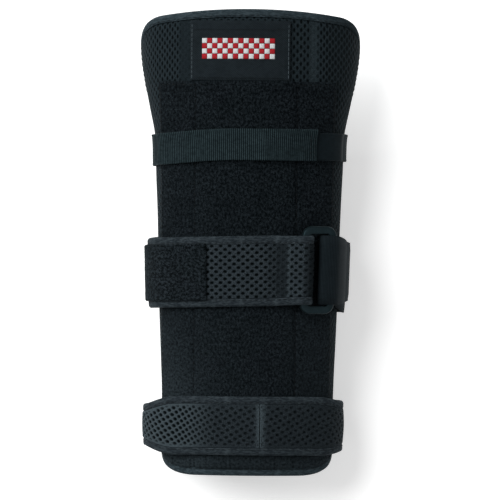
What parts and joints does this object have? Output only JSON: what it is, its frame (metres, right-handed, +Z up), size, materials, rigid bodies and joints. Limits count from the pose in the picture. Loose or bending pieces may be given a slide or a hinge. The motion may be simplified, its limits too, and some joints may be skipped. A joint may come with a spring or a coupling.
{
  "type": "bowling glove",
  "caption": "Long bowling glove of the wrist-support kind: a padded mesh shell over the back of the hand and forearm, closed below by hook and loop straps.",
  "frame": {"origin": "on the floor under the middle of the whole", "axes": "+X across the back of the hand towards the ring, +Y along the arm from the hand end to the forearm end, +Z up from the floor through the back of the hand"},
  "size_m": [0.132, 0.28, 0.0769],
  "materials": {
    "spacer_mesh": "black knitted spacer mesh",
    "binding": "black stretch binding",
    "loop_pile": "black brushed loop pile",
    "woven_twill": "black fine twill",
    "smooth_tape": "black close woven tape",
    "ribbed_webbing": "black ribbed webbing",
    "strap_mesh": "charcoal open mesh",
    "moulded_ring": "glossy black moulded plastic"
  },
  "bodies": {
    "root": {"support_shell": "spacer_mesh", "shell_binding": "binding", "loop_panel": "loop_pile", "label_patch": "woven_twill", "forearm_tape": "smooth_tape", "forearm_webbing": "ribbed_webbing", "wrist_strap": "strap_mesh", "wrist_binding_upper": "binding", "wrist_binding_lower": "binding", "wrist_pad": "loop_pile", "wrist_tail": "smooth_tape", "strap_ring": "moulded_ring", "hand_strap_left": "strap_mesh", "hand_strap_right": "strap_mesh", "hand_binding_upper": "binding", "hand_binding_lower": "binding"}
  },
  "joints": []
}
